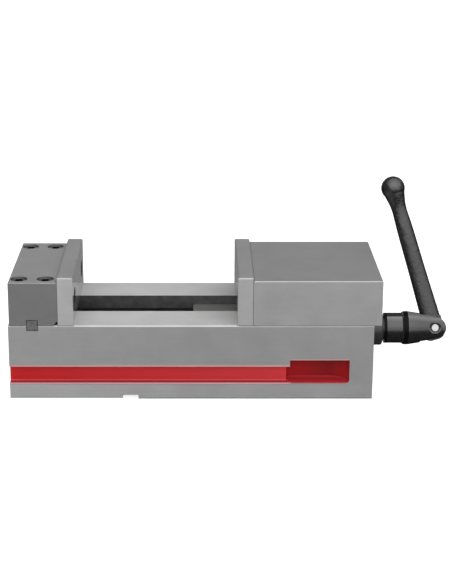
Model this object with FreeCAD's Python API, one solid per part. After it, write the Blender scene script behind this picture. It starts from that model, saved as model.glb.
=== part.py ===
import FreeCAD, Part
import math
import os

from FreeCAD import Rotation, Vector

# A machine vise with 150 mm jaws. The screw turns in the end wall of the bed and cannot move
# along itself. Its nut runs in the channel under the rails, and a 45 degree hook on the nut
# presses a half ball into the movable jaw, so that closing the vise also pulls that jaw down.
# Millimetres. X runs from the fixed jaw to the handle, Z is up, and the origin is the middle
# of the bed's bottom face. The jaws stand open, as pictured.

X = Vector(1, 0, 0)
Y = Vector(0, 1, 0)
Z = Vector(0, 0, 1)

# Bed
jaw_width = 150.0           # the bed, the jaws and their plates are all this wide
bed_length = 370.0
bed_height = 79.0           # up to the top of the rails
slot_width = 54.0           # between the rails
channel_width = 74.0        # under the lips of the rails
lip_depth = 14.3
channel_depth = 55.0        # from the top of the rails to the channel's floor
end_wall = 23.0             # wall at the handle end, which carries the screw
end_wall_drop = 2.0         # its top lies this far under the rails
rail_chamfer = 1.3
groove_bottom = 17.5        # clamping groove in each side
groove_top = 35.0
groove_depth = 7.0
groove_root_fillet = 1.5
groove_lip_bevel = 0.7      # along the front edge of its floor
pocket_reach = 285.5        # from the far end of the bed to the near wall of the hand pocket
pocket_length = 60.7
pocket_top = 41.9
pocket_depth = 18.0
pocket_run_in = 3.2         # the pocket starts this far back along the groove's inner wall
pocket_far_round = 5.0      # upright inner corners of the pocket
pocket_near_round = 17.5    # wide, as the cutter left it at the handle's end
pocket_low_round = 3.0      # corners of its outline, at the bottom
keyway_centre = 123.0       # from the far end of the bed to the keyway across its bottom
keyway_width = 16.0
keyway_depth = 4.3
heel_relief = 1.1           # low step along the bottom edges, at the fixed jaw's end only
heel_relief_width = 8.0
foot_chamfer = 1.0          # bottom edges of the rest of the bed

# Fixed jaw and its key
fixed_jaw_setback = 1.2
fixed_jaw_length = 48.9
fixed_jaw_height = 45.0
fixed_jaw_notch = 4.8       # chip groove along the bottom edge, behind the plate
key_size = 12.0
key_centre = 23.3           # from the jaw's far side
key_end_gap = 1.0
key_chamfer = 0.7
jaw_screw_inset = 10.0      # from the jaw's far side to the first pair of screws
jaw_screw_pitch = 26.7
jaw_screw_side = 14.5       # from each side of the jaw
jaw_edge_chamfer = 0.8

# Jaw plates
plate_thickness = 16.2
plate_height = 49.8
plate_lift = 0.2            # running gap over the rails
plate_chamfer = 1.2         # along the four top edges
plate_corner_break = 0.4    # along the upright edges of the working face
plate_screw_side = 27.0     # from each end of the plate
plate_screw_height = 23.8   # above the rails

# Movable jaw, nut and half ball
opening = 165.5             # between the plates, as pictured
movable_jaw_length = 129.6
movable_jaw_height = 46.7
cavity_width = 50.0
cavity_roof = 12.7
cavity_rear_wall = 22.6
tongue_depth = 8.0          # guide under the movable jaw, in the slot
tongue_length = 49.0
slide_gap = 0.05            # on each side of what slides between the rails
nut_reach = 45.2            # how far the nut shows in front of the movable plate
nut_length = 132.4
nut_drop = 9.9              # top of the nut under the top of the rails
nut_under_screw = 15.7      # from the middle of the screw to the bottom of the nut
nut_wing_side_gap = 0.5     # between the nut's wings and the walls of the channel
nut_wing_gap = 0.3          # between the wings and the lips over them
hook_width = 40.0
hook_length = 17.0
hook_height = 33.0          # above the top of the rails
hook_nose = 84.0            # from the nut's front end to the nose of the hook
hook_nose_height = 4.0      # blunt front of the nose
half_ball_radius = 13.0
half_ball_height = 17.0     # its centre, above the top of the rails
half_ball_proud = 1.0       # how far it stands out of its seat
seat_gap = 0.05

# Screws with a hexagon socket
screw_diameter = 10.0
head_diameter = 16.0
head_height = 10.0
head_chamfer = 0.8
head_recess = 1.3           # below the top of the fixed jaw
hex_socket = 8.0            # across the flats
hex_socket_depth = 5.0
counterbore_diameter = 17.5
plate_head_recess = 0.5     # below the face of a plate
clearance_hole = 10.6
tapped_gap = 0.05           # between a screw and its tapped hole, on the radius
jaw_screw_length = 50.0
plate_screw_length = 25.0
tapped_spare = 3.0          # tapped depth past the end of a screw
end_chamfer = 1.0
set_screw_length = 50.0
set_screw_height = 13.0     # above the top of the rails
set_screw_socket = 5.0

# Lead screw and its bearing
screw_drop = 27.3           # middle of the screw under the top of the rails
thread_diameter = 24.0
thread_length = 265.0
nut_bore_gap = 0.08
flange_radius = 19.0
flange_width = 6.0
journal_diameter = 25.0
journal_gap = 0.05
press_gap = 0.02
bearing_radius = 21.0
bearing_bore_gap = 1.0
washer_width = 3.5
ball_diameter = 6.0
ball_count = 12
ball_circle_radius = 16.75
ball_space = 4.0            # between the two washers
race_gap = 0.1
cage_width = 2.4
cage_journal_gap = 0.45
cage_seat_gap = 0.6
bearing_sink = 10.0         # depth of the bearing's seat in the end wall
bush_radius = 15.0
collar_gap = 0.3
collar_width = 15.9
collar_radius = 18.1
collar_round = 2.0
collar_screw_diameter = 6.0
collar_screw_length = 4.4
collar_screw_socket = 3.0
neck_length = 2.3           # bare journal between the collar and the handle
drive_hex = 19.0            # across the flats
drive_hex_length = 30.0

# Handle
handle_lean = -18.0         # degrees, turn of the whole handle about the screw
sleeve_radius = 16.0
sleeve_length = 18.5
sleeve_step = 3.2           # length of the round shoulder between sleeve and fork
crest_width = 3.2           # of the widest part of the fork, next to the shoulder
fork_radius = 17.7
pin_reach = 52.9            # from the start of the sleeve to the cross pin
fork_end_radius = 13.3
fork_nose = 11.5            # radius of the rounded end, about the pin
fork_slot_gap = 0.2         # on each side of the arm
fork_root = 15.1            # from the pin to the root of the slot
hex_hole_gap = 0.15
hex_hole_depth = 31.0
pin_diameter = 8.0
pin_recess_radius = 6.5     # countersink around the pin
pin_recess_depth = 2.2
pin_end_gap = 0.7           # between the end of the pin and the outside of the fork
pin_hole_gap = 0.06
arm_length = 154.1          # from the pin to the middle of the ball
arm_lean = 16.1             # degrees from square to the screw, toward the jaws
arm_thickness = 12.0
arm_root_width = 20.4
arm_tip_width = 16.4
arm_neck = 34.0             # from the middle of the ball back to the narrowest place
arm_heel = 12.8
arm_heel_round = 4.0
arm_toe_round = 9.0
ball_end_radius = 12.5

# Places worked out from the sizes
half_width = jaw_width / 2
far_end = -bed_length / 2
near_end = bed_length / 2
wall_face = near_end - end_wall
screw_height = bed_height - screw_drop
channel_floor = bed_height - channel_depth
lip_under = bed_height - lip_depth
fixed_jaw_start = far_end + fixed_jaw_setback
fixed_jaw_end = fixed_jaw_start + fixed_jaw_length
fixed_face = fixed_jaw_end + plate_thickness
key_x = fixed_jaw_start + key_centre
keyway_start = far_end + keyway_centre - keyway_width / 2
keyway_end = keyway_start + keyway_width
movable_face = fixed_face + opening
movable_jaw_start = movable_face + plate_thickness
movable_jaw_end = movable_jaw_start + movable_jaw_length
plate_screw_z = bed_height + plate_screw_height
nut_start = movable_face - nut_reach
nut_end = nut_start + nut_length
nut_top = bed_height - nut_drop
nut_bottom = screw_height - nut_under_screw
hook_top = bed_height + hook_height
half_ball_z = bed_height + half_ball_height
nose_x = nut_start + hook_nose
ramp_sum = nose_x + hook_top - hook_nose_height     # X + Z, the same all over the 45 degree face
half_ball_x = ramp_sum - half_ball_z
set_screw_z = bed_height + set_screw_height
seat_x = wall_face + bearing_sink
flange_end = seat_x - 2 * washer_width - ball_space
flange_start = flange_end - flange_width
ball_x = seat_x - washer_width - ball_space / 2
thread_radius = thread_diameter / 2
journal_radius = journal_diameter / 2
collar_start = near_end + collar_gap
collar_end = collar_start + collar_width
hub_start = collar_end + neck_length
pin_x = hub_start + pin_reach
axis_point = Vector(0, 0, screw_height)


def box(x0, x1, y0, y1, z0, z1):
    return Part.makeBox(x1 - x0, y1 - y0, z1 - z0, Vector(x0, y0, z0))


def wide_box(x0, x1, width, z0, z1):
    return box(x0, x1, -width / 2, width / 2, z0, z1)


def rod(radius, start, end):
    return Part.makeCylinder(radius, (end - start).Length, start, end - start)


def rod_x(radius, x0, x1, y=0.0, z=screw_height):
    return rod(radius, Vector(x0, y, z), Vector(x1, y, z))


def tube_x(outer, inner, x0, x1):
    return rod_x(outer, x0, x1).cut(rod_x(inner, x0 - 1, x1 + 1))


def hexagon(flats, start, direction, length):
    """A six-sided bar that starts at a point and runs along a direction."""
    corner = flats / math.sqrt(3)
    corners = [
        Vector(corner * math.cos(math.radians(60 * i)), corner * math.sin(math.radians(60 * i)), 0)
        for i in range(7)
    ]
    bar = Part.Face(Part.makePolygon(corners)).extrude(Z * length)
    bar.Placement = FreeCAD.Placement(start, Rotation(Z, direction))
    return bar


def on_profile(x, radius):
    """A point of a turned profile, at a radius from the screw's axis."""
    return Vector(x, 0, screw_height + radius)


def turned(points):
    """Turn a profile of (x, radius) points about the screw's axis."""
    outline = [on_profile(x, radius) for x, radius in points]
    face = Part.Face(Part.makePolygon(outline + outline[:1]))
    return face.revolve(axis_point, X, 360)


def prism_y(points, width):
    """Extrude an (x, z) outline across the vise, equally to both sides."""
    outline = [Vector(x, -width / 2, z) for x, z in points]
    return Part.Face(Part.makePolygon(outline + outline[:1])).extrude(Y * width)


def edges_along(shape, direction, test):
    """Straight edges along a direction whose middle passes a test."""
    straight = [edge for edge in shape.Edges if edge.Curve.TypeId == "Part::GeomLine"]
    along = [edge for edge in straight if abs(edge.tangentAt(0).dot(direction)) > 0.999]
    return [edge for edge in along if test(edge.CenterOfMass)]


def near(a, b):
    return abs(a - b) < 0.01


def about_screw(shape):
    """Turn a piece of the handle about the screw to where the handle stands."""
    return shape.rotated(axis_point, X, handle_lean)


def both_sides(make):
    return [make(-1), make(1)]


def cap_screw(length, seat, direction):
    """A socket head cap screw: seat is the middle of the head's underside, direction its top."""
    head = Part.makeCylinder(head_diameter / 2, head_height)
    rim = [edge for edge in head.Edges if near(edge.CenterOfMass.z, head_height)]
    head = head.makeChamfer(head_chamfer, rim)
    shank = Part.makeCylinder(screw_diameter / 2, length, Vector(0, 0, -length))
    point = [edge for edge in shank.Edges if near(edge.CenterOfMass.z, -length)]
    shank = shank.makeChamfer(end_chamfer, point)
    socket = hexagon(hex_socket, Vector(0, 0, head_height - hex_socket_depth), Z, head_height)
    screw = head.fuse(shank).removeSplitter().cut(socket)
    screw.Placement = FreeCAD.Placement(seat, Rotation(Z, direction))
    return screw


def sunk_hole(seat, direction, depth):
    """Counterbore and clearance hole for a cap screw, through depth below its head."""
    counterbore = rod(counterbore_diameter / 2, seat, seat + direction * 2 * head_height)
    hole = rod(clearance_hole / 2, seat - direction * (depth + 1), seat)
    return counterbore.fuse(hole)


def tapped_hole(mouth, direction, depth):
    """A tapped hole that runs from its mouth against a direction."""
    radius = screw_diameter / 2 + tapped_gap
    return rod(radius, mouth + direction, mouth - direction * depth)


def jaw_screw_seats():
    """Middles of the four heads' undersides in the fixed jaw."""
    z = bed_height + fixed_jaw_height - head_recess - head_height
    first = fixed_jaw_start + jaw_screw_inset
    return [
        Vector(x, side * (half_width - jaw_screw_side), z)
        for x in (first, first + jaw_screw_pitch)
        for side in (-1, 1)
    ]


def plate_screw_seats(face, outward):
    """Middles of the two heads' undersides in a jaw plate, whose working face is given."""
    x = face - outward * (head_height + plate_head_recess)
    return [Vector(x, side * (half_width - plate_screw_side), plate_screw_z) for side in (-1, 1)]


def bed():
    body = wide_box(far_end, near_end, jaw_width, 0, bed_height)
    body = body.makeChamfer(rail_chamfer, edges_along(body, X, lambda p: near(p.z, bed_height)))
    cutters = [
        wide_box(far_end - 1, wall_face, slot_width, lip_under - 1, bed_height + 1),
        wide_box(far_end - 1, wall_face, channel_width, channel_floor, lip_under),
        wide_box(wall_face - 1, near_end + 1, slot_width, bed_height - end_wall_drop, bed_height + 1),
        wide_box(key_x - key_size / 2, key_x + key_size / 2, jaw_width + 2,
                 bed_height - key_size / 2, bed_height + 1),
        rod_x(bearing_radius + journal_gap, wall_face - 1, seat_x),
        rod_x(bush_radius, seat_x - 1, near_end + 1),
    ]
    cutters += both_sides(clamping_groove)
    cutters += both_sides(hand_pocket)
    cutters += both_sides(heel_step)
    for side in (-1, 1):
        cutters.append(edge_bevel(side, keyway_end, near_end + 1, 0, foot_chamfer))
    cutters.append(wide_box(keyway_start, keyway_end, jaw_width + 2, -1, keyway_depth))
    for seat in jaw_screw_seats():
        depth = jaw_screw_length + tapped_spare - (seat.z - bed_height)
        cutters.append(tapped_hole(Vector(seat.x, seat.y, bed_height), Z, depth))
    return body.cut(cutters)


def side_box(side, x0, x1, depth, z0, z1):
    """A box sunk into one side of the bed."""
    y0, y1 = sorted((side * (half_width - depth), side * (half_width + 1)))
    return box(x0, x1, y0, y1, z0, z1)


def clamping_groove(side):
    pocket_start = far_end + pocket_reach
    groove = side_box(side, far_end - 1, pocket_start + 1, groove_depth, groove_bottom, groove_top)
    root_y = side * (half_width - groove_depth)
    root = edges_along(groove, X, lambda p: near(p.y, root_y) and near(p.z, groove_bottom))
    groove = groove.makeFillet(groove_root_fillet, root)
    return groove.fuse(edge_bevel(side, far_end - 1, pocket_start + 1, groove_bottom, groove_lip_bevel))


def hand_pocket(side):
    """A finger pocket at the end of a groove: taller than the groove, and deeper."""
    start = far_end + pocket_reach
    end = start + pocket_length
    pocket = side_box(side, start - pocket_run_in, end, pocket_depth, groove_bottom, pocket_top)
    back_y = side * (half_width - pocket_depth)
    for x, radius in ((start - pocket_run_in, pocket_far_round), (end, pocket_near_round)):
        upright = edges_along(pocket, Z, lambda p: near(p.x, x) and near(p.y, back_y))
        pocket = pocket.makeFillet(radius, upright)
    low = edges_along(pocket, Y, lambda p: near(p.z, groove_bottom))
    pocket = pocket.makeFillet(pocket_low_round, low)
    lintel = side_box(side, start - 2 * pocket_run_in, start, 2 * pocket_depth, groove_top, pocket_top + 1)
    return pocket.cut(lintel)


def heel_step(side):
    return side_box(side, far_end - 1, keyway_start, heel_relief_width, -1, heel_relief)


def edge_bevel(side, x0, x1, height, size):
    """A bar on edge, that bevels an edge along one side of the bed at a height."""
    y = side * half_width
    corners = [(y, height - size), (y + size, height), (y, height + size), (y - size, height)]
    outline = [Vector(x0, *corner) for corner in corners]
    return Part.Face(Part.makePolygon(outline + outline[:1])).extrude(X * (x1 - x0))


def fixed_jaw():
    top = bed_height + fixed_jaw_height
    body = wide_box(fixed_jaw_start, fixed_jaw_end, jaw_width, bed_height, top)
    body = body.makeChamfer(jaw_edge_chamfer, [e for e in body.Edges if near(e.CenterOfMass.z, top)])
    corner = edges_along(body, Y, lambda p: near(p.x, fixed_jaw_end) and near(p.z, bed_height))
    body = body.makeChamfer(fixed_jaw_notch, corner)
    cutters = [wide_box(key_x - key_size / 2, key_x + key_size / 2, jaw_width + 2,
                        bed_height - 1, bed_height + key_size / 2)]
    for seat in jaw_screw_seats():
        cutters.append(sunk_hole(seat, Z, seat.z - bed_height))
    for seat in plate_screw_seats(fixed_face, 1):
        depth = plate_screw_length + tapped_spare - (seat.x - fixed_jaw_end)
        cutters.append(tapped_hole(Vector(fixed_jaw_end, seat.y, seat.z), X, depth))
    return body.cut(cutters)


def fixed_jaw_key():
    length = jaw_width - 2 * key_end_gap
    key = wide_box(key_x - key_size / 2, key_x + key_size / 2, length,
                   bed_height - key_size / 2, bed_height + key_size / 2)
    return key.makeChamfer(key_chamfer, [e for e in key.Edges if near(abs(e.CenterOfMass.y), length / 2)])


def jaw_plate(face, outward):
    """A plate whose working face is given, with its screws sunk in that face."""
    back = face - outward * plate_thickness
    bottom = bed_height + plate_lift
    body = wide_box(min(face, back), max(face, back), jaw_width, bottom, bottom + plate_height)
    top = bottom + plate_height
    body = body.makeChamfer(plate_chamfer, [e for e in body.Edges if near(e.CenterOfMass.z, top)])
    body = body.makeChamfer(plate_corner_break, edges_along(body, Z, lambda p: near(p.x, face)))
    holes = [sunk_hole(seat, X * outward, plate_thickness) for seat in plate_screw_seats(face, outward)]
    return body.cut(holes)


def movable_jaw():
    top = bed_height + movable_jaw_height
    body = wide_box(movable_jaw_start, movable_jaw_end, jaw_width, bed_height, top)
    body = body.makeChamfer(jaw_edge_chamfer, [e for e in body.Edges if near(e.CenterOfMass.z, top)])
    tongue = wide_box(movable_jaw_start, movable_jaw_start + tongue_length,
                      slot_width - 2 * slide_gap, bed_height - tongue_depth, bed_height)
    body = body.fuse(tongue).removeSplitter()
    roof = top - cavity_roof
    rear = movable_jaw_end - cavity_rear_wall
    ramp = ramp_sum - half_ball_proud * math.sqrt(2)
    low = bed_height - tongue_depth - 1
    cavity = prism_y([(ramp - low, low), (rear, low), (rear, roof), (ramp - roof, roof)], cavity_width)
    seat = Part.makeSphere(half_ball_radius + seat_gap, Vector(half_ball_x, 0, half_ball_z))
    back_hole = rod_x(screw_diameter / 2 + tapped_gap, rear - 1, movable_jaw_end + 1, 0, set_screw_z)
    cutters = [cavity, seat, back_hole]
    for place in plate_screw_seats(movable_face, -1):
        depth = plate_screw_length + tapped_spare - (movable_jaw_start - place.x)
        cutters.append(tapped_hole(Vector(movable_jaw_start, place.y, place.z), X * -1, depth))
    return body.cut(cutters)


def nut():
    block = wide_box(nut_start, nut_end, slot_width - 2 * slide_gap, nut_bottom, nut_top)
    wings = wide_box(nut_start, nut_end, channel_width - 2 * nut_wing_side_gap,
                     nut_bottom, lip_under - nut_wing_gap)
    heel_x = nut_end - hook_length
    hook = prism_y([
        (heel_x, nut_top - 1),
        (heel_x, ramp_sum - heel_x),
        (nose_x, ramp_sum - nose_x),
        (nose_x, hook_top),
        (nut_end, hook_top),
        (nut_end, nut_top - 1),
    ], hook_width)
    body = block.fuse([wings, hook]).removeSplitter()
    front = edges_along(body, Y, lambda p: near(p.x, nut_start))
    body = body.makeChamfer(end_chamfer, front)
    return body.cut(rod_x(thread_radius + nut_bore_gap, nut_start - 1, nut_end + 1))


def half_ball():
    centre = Vector(half_ball_x, 0, half_ball_z)
    return Part.makeSphere(half_ball_radius, centre, Vector(1, 0, 1), -90, 0, 360)


def jaw_set_screw():
    end = nut_end + set_screw_length
    body = rod_x(screw_diameter / 2, nut_end, end, 0, set_screw_z)
    body = body.makeChamfer(end_chamfer, [e for e in body.Edges if near(e.CenterOfMass.x, nut_end)])
    mouth = Vector(end + 1, 0, set_screw_z)
    return body.cut(hexagon(set_screw_socket, mouth, X * -1, hex_socket_depth + 1))


def lead_screw():
    """Thread at its outer diameter, flange, journal and driving hexagon."""
    start = flange_start - thread_length
    body = turned([
        (start, 0),
        (start, thread_radius - 2 * end_chamfer),
        (start + 2 * end_chamfer, thread_radius),
        (flange_start, thread_radius),
        (flange_start, flange_radius),
        (flange_end, flange_radius),
        (flange_end, journal_radius),
        (hub_start, journal_radius),
        (hub_start, 0),
    ])
    drive = hexagon(drive_hex, Vector(hub_start - 1, 0, screw_height), X, drive_hex_length + 1)
    corner = drive_hex / math.sqrt(3)
    end = hub_start + drive_hex_length
    tip = turned([
        (hub_start - 1, 0),
        (hub_start - 1, corner + 1),
        (end - 1, corner + 1),
        (end - 1, corner),
        (end, corner - end_chamfer),
        (end, 0),
    ])
    return body.fuse(about_screw(drive.common(tip)))


def screw_bush():
    return tube_x(bush_radius, journal_radius + journal_gap, seat_x, near_end)


def race():
    """The ring that the balls need in the washers' faces."""
    return Part.makeTorus(ball_circle_radius, ball_diameter / 2 + race_gap,
                          Vector(ball_x, 0, screw_height), X)


def bearing_housing_washer():
    ring = tube_x(bearing_radius, journal_radius + bearing_bore_gap, seat_x - washer_width, seat_x)
    return ring.cut(race())


def bearing_shaft_washer():
    ring = tube_x(bearing_radius - bearing_bore_gap / 2, journal_radius + press_gap,
                  flange_end, flange_end + washer_width)
    return ring.cut(race())


def ball_centres():
    step = 2 * math.pi / ball_count
    return [
        Vector(ball_x, ball_circle_radius * math.cos(i * step),
               screw_height + ball_circle_radius * math.sin(i * step))
        for i in range(ball_count)
    ]


def bearing_cage():
    outer = bearing_radius + journal_gap - cage_seat_gap
    inner = journal_radius + cage_journal_gap
    ring = tube_x(outer, inner, ball_x - cage_width / 2, ball_x + cage_width / 2)
    pockets = [
        rod(ball_diameter / 2 + race_gap, centre - X * cage_width, centre + X * cage_width)
        for centre in ball_centres()
    ]
    return ring.cut(pockets)


def bearing_balls():
    return Part.makeCompound([Part.makeSphere(ball_diameter / 2, centre) for centre in ball_centres()])


def screw_collar():
    ring = tube_x(collar_radius, journal_radius + press_gap, collar_start, collar_end)
    ends = [edge for edge in ring.Edges if near(edge.CenterOfMass.x, collar_end)]
    rim = [edge for edge in ends if near(edge.Curve.Radius, collar_radius)]
    ring = ring.makeFillet(collar_round, rim)
    middle = Vector((collar_start + collar_end) / 2, 0, screw_height)
    return ring.cut(rod(collar_screw_diameter / 2 + tapped_gap, middle, middle + Y * 2 * collar_radius))


def collar_set_screw():
    middle = Vector((collar_start + collar_end) / 2, journal_radius + tapped_gap, screw_height)
    end = middle + Y * collar_screw_length
    socket = hexagon(collar_screw_socket, end + Y, Y * -1, collar_screw_length / 2 + 1)
    return rod(collar_screw_diameter / 2, middle, end).cut(socket)


def hub_blank(nose_x):
    """The hub as it comes off the lathe: sleeve, round shoulder, crest and taper."""
    step_x = hub_start + sleeve_length
    crest_x = step_x + sleeve_step
    rise = fork_radius - sleeve_radius
    shoulder_radius = (sleeve_step ** 2 + rise ** 2) / (2 * rise)
    half_turn = math.asin(sleeve_step / shoulder_radius) / 2
    bulge = on_profile(crest_x - shoulder_radius * math.sin(half_turn),
                       fork_radius - shoulder_radius * (1 - math.cos(half_turn)))
    front = Part.makePolygon([
        on_profile(hub_start, 0),
        on_profile(hub_start, sleeve_radius),
        on_profile(step_x, sleeve_radius),
    ])
    shoulder = Part.Arc(on_profile(step_x, sleeve_radius), bulge, on_profile(crest_x, fork_radius)).toShape()
    taper = Part.makePolygon([
        on_profile(crest_x, fork_radius),
        on_profile(crest_x + crest_width, fork_radius),
        on_profile(pin_x, fork_end_radius),
        on_profile(nose_x, fork_end_radius),
        on_profile(nose_x, 0),
        on_profile(hub_start, 0),
    ])
    return Part.Face(Part.Wire([front, shoulder, taper])).revolve(axis_point, X, 360)


def handle_hub():
    """Sleeve on the driving hexagon, and the fork that holds the arm."""
    nose_x = pin_x + fork_nose
    body = hub_blank(nose_x)
    shank = box(hub_start - 1, pin_x, -2 * fork_radius, 2 * fork_radius,
                screw_height - 2 * fork_radius, screw_height + 2 * fork_radius)
    middle = Vector(pin_x, 0, screw_height)
    nose = rod(fork_nose, middle - Y * 2 * fork_radius, middle + Y * 2 * fork_radius)
    body = body.common(shank.fuse(nose))
    slot_half = arm_thickness / 2 + fork_slot_gap
    cutters = [
        box(pin_x - fork_root, nose_x + 1, -slot_half, slot_half,
            screw_height - 2 * fork_radius, screw_height + 2 * fork_radius),
        hexagon(drive_hex + 2 * hex_hole_gap, Vector(hub_start - 1, 0, screw_height), X,
                hex_hole_depth + 1),
        rod(pin_diameter / 2, middle - Y * 2 * fork_radius, middle + Y * 2 * fork_radius),
    ]
    for side in (-1, 1):
        floor = middle + Y * side * (fork_end_radius - pin_recess_depth)
        mouth = floor + Y * side * pin_recess_depth
        cutters.append(Part.makeCone(pin_recess_radius - pin_recess_depth, pin_recess_radius,
                                     pin_recess_depth, floor, Y * side))
        cutters.append(rod(pin_recess_radius, mouth, mouth + Y * side * fork_radius))
    return about_screw(body.cut(cutters))


def handle_pin():
    middle = Vector(pin_x, 0, screw_height)
    reach = Y * (fork_end_radius - pin_end_gap)
    body = rod(pin_diameter / 2, middle - reach, middle + reach)
    rims = [e for e in body.Edges if e.Closed]
    return about_screw(body.makeChamfer(end_chamfer / 2, rims))


def arm_section(height, width, thickness):
    """An oval across the arm, at a height above the pin."""
    oval = Part.Ellipse(Vector(0, 0, height), width / 2, thickness / 2)
    return Part.Wire(oval.toShape())


def handle_arm():
    """Oval bar with a ball at one end and a flat heel in the fork, drawn upright on the pin."""
    root = fork_nose
    neck = arm_length - arm_neck
    ball = ball_end_radius
    sections = [
        arm_section(root - 2, arm_root_width, arm_thickness),
        arm_section(2 * root, arm_root_width - 0.4, arm_thickness),
        arm_section(neck / 2, (arm_root_width + arm_tip_width) / 2, arm_thickness),
        arm_section(neck, arm_tip_width, arm_thickness),
        arm_section(arm_length - 1.6 * ball, arm_tip_width, arm_thickness + 0.6),
        arm_section(arm_length - 1.0 * ball, 1.5 * ball, 1.4 * ball),
        arm_section(arm_length - 0.5 * ball, 1.72 * ball, 1.72 * ball),
    ]
    bar = Part.makeLoft(sections, True, False)
    knob = Part.makeSphere(ball, Vector(0, 0, arm_length))
    half = arm_root_width / 2
    heel = box(-half, half, -arm_thickness / 2, arm_thickness / 2, -arm_heel, root)
    heel = heel.makeFillet(arm_heel_round, edges_along(
        heel, Y, lambda p: near(p.x, -half) and near(p.z, -arm_heel)))
    heel = heel.makeFillet(arm_toe_round, edges_along(
        heel, Y, lambda p: near(p.x, half) and near(p.z, -arm_heel)))
    body = bar.fuse([knob, heel])
    body = body.cut(rod(pin_diameter / 2 + pin_hole_gap, Y * -arm_thickness, Y * arm_thickness))
    body = body.rotated(Vector(0, 0, 0), Y, -arm_lean)
    return about_screw(body.translated(Vector(pin_x, 0, screw_height)))


def export(name, shape):
    """Write one node, and print its volume so that a broken shape shows."""
    solids = shape.Solids
    if name != "bearing_balls" and len(solids) == 1:
        shape = solids[0]
    shape.exportStep("parts/" + name + ".step")
    print(f"{name:24s} solids {len(solids):2d}  valid {shape.isValid()}  cm3 {shape.Volume / 1000:9.3f}")


def main():
    os.makedirs("parts", exist_ok=True)
    export("bed", bed())
    export("fixed_jaw", fixed_jaw())
    export("fixed_jaw_key", fixed_jaw_key())
    for number, seat in enumerate(jaw_screw_seats(), 1):
        export(f"fixed_jaw_screw_{number}", cap_screw(jaw_screw_length, seat, Z))
    for jaw, face, outward in (("fixed", fixed_face, 1), ("movable", movable_face, -1)):
        export(f"{jaw}_plate", jaw_plate(face, outward))
        for number, seat in enumerate(plate_screw_seats(face, outward), 1):
            export(f"{jaw}_plate_screw_{number}", cap_screw(plate_screw_length, seat, X * outward))
    export("movable_jaw", movable_jaw())
    export("nut", nut())
    export("half_ball", half_ball())
    export("jaw_set_screw", jaw_set_screw())
    export("lead_screw", lead_screw())
    export("screw_bush", screw_bush())
    export("bearing_housing_washer", bearing_housing_washer())
    export("bearing_shaft_washer", bearing_shaft_washer())
    export("bearing_cage", bearing_cage())
    export("bearing_balls", bearing_balls())
    export("screw_collar", screw_collar())
    export("collar_set_screw", collar_set_screw())
    export("handle_hub", handle_hub())
    export("handle_pin", handle_pin())
    export("handle_arm", handle_arm())


main()
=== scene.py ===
# %% [markdown]
# # A machine vise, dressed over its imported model
#
# The vise arrives as exact solids: bed, jaws, plates, screws, handle. This file gives each of
# them the finish of the real thing, cuts the lead screw's thread, and sets a floor, light and
# a camera. Nothing that arrives is moved or resized.

import math

import bmesh
import bpy
from mathutils import Matrix, Vector


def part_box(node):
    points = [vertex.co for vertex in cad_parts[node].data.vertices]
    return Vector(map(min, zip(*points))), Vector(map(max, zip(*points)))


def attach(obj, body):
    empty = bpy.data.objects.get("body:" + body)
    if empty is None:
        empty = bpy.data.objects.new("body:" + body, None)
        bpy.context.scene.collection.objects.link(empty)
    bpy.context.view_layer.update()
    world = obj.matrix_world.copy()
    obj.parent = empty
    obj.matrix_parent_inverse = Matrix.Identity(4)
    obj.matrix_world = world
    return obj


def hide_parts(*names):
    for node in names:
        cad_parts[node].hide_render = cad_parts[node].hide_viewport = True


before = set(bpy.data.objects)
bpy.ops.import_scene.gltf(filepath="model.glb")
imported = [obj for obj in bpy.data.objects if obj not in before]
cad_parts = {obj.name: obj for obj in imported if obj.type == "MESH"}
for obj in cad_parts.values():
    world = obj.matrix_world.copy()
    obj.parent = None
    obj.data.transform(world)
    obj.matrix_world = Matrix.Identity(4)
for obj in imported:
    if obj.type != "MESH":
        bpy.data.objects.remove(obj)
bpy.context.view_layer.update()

# %% [markdown]
# ## Units and colour
#
# The frame is in metres, a maker thinks in millimetres, so one constant turns one into the
# other. Colours are picked as sRGB hex, as on a paint card, but the renderer adds up light, so
# one function turns them to linear values, by the curve that the sRGB standard gives.

# %% Millimetres, and a colour from a hex code
MM = 0.001


def linear(code):
    parts = [int(code[i:i + 2], 16) / 255 for i in (1, 3, 5)]
    return [p / 12.92 if p <= 0.04045 else ((p + 0.055) / 1.055) ** 2.4 for p in parts] + [1.0]


def per_mm(size):
    """Scale of a pattern whose features are this many millimetres apart."""
    return 1 / (size * MM)


print("mid grey is", [round(c, 3) for c in linear("#808080")])

# %% [markdown]
# ## One helper for every node
#
# A finish is a handful of nodes: a pattern, a range, a mix, a bump, and the surface itself.
# Written out in full each takes four or five lines, so this helper adds one, sets its values
# and links its inputs in a single call. An input goes by name or number, and a Mix node has its
# two numbers at 2 and 3 and its two colours at 6 and 7. The value may be a number, a hex
# colour, a socket, or another node, which then gives its first output that is in use.

# %% The node helper, an empty material, and its surface
def node(tree, kind, inputs=None, **settings):
    made = tree.nodes.new("ShaderNode" + kind)
    for name, value in settings.items():
        setattr(made, name, value)
    for key, value in (inputs or {}).items():
        socket = made.inputs[key]
        if isinstance(value, bpy.types.Node):
            value = next(output for output in value.outputs if output.enabled)
        if isinstance(value, bpy.types.NodeSocket):
            tree.links.new(value, socket)
        elif isinstance(value, str):
            socket.default_value = linear(value)[:len(socket.default_value)]
        else:
            socket.default_value = value
    return made


def material(name):
    made = bpy.data.materials.new(name)
    made.use_nodes = True
    made.node_tree.nodes.clear()
    return made, made.node_tree


def dress(tree, inputs):
    """Add the surface with its inputs, and send it to the material's output."""
    node(tree, "OutputMaterial", {"Surface": node(tree, "BsdfPrincipled", inputs)})


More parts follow.
